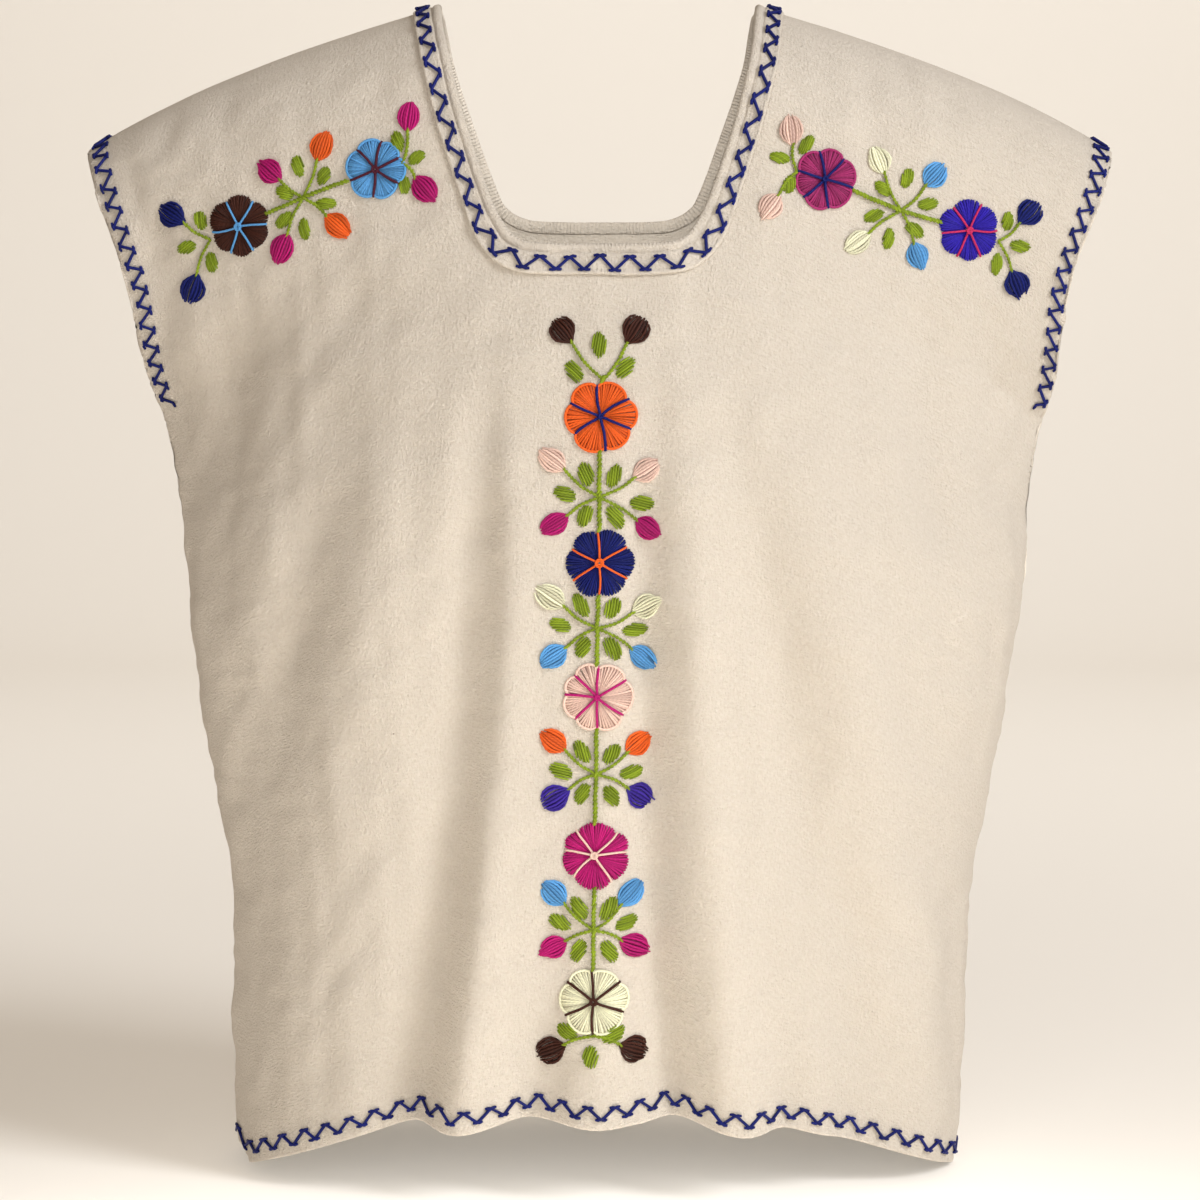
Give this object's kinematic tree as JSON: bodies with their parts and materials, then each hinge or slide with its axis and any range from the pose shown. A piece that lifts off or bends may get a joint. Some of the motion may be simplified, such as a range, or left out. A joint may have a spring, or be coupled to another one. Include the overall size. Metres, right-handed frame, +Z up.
{
  "type": "embroidered blouse",
  "caption": "Straight-cut cotton blouse with short cap sleeves, a square banded neck and embroidered flowers, filled out as worn with no wearer.",
  "frame": {"origin": "midway between the shoulders, level with the neck opening's highest points, where a wearer's shoulders hold the blouse up", "axes": "+Z up, -Y out of the front, +X towards the wearer's left"},
  "size_m": [0.5875, 0.2516, 0.6675],
  "materials": {
    "body_cotton": "matt",
    "band_cotton": "matt"
  },
  "bodies": {
    "root": {"front_panel": "body_cotton", "back_panel": "body_cotton", "neck_band_front": "band_cotton", "neck_band_back": "band_cotton"}
  },
  "joints": []
}
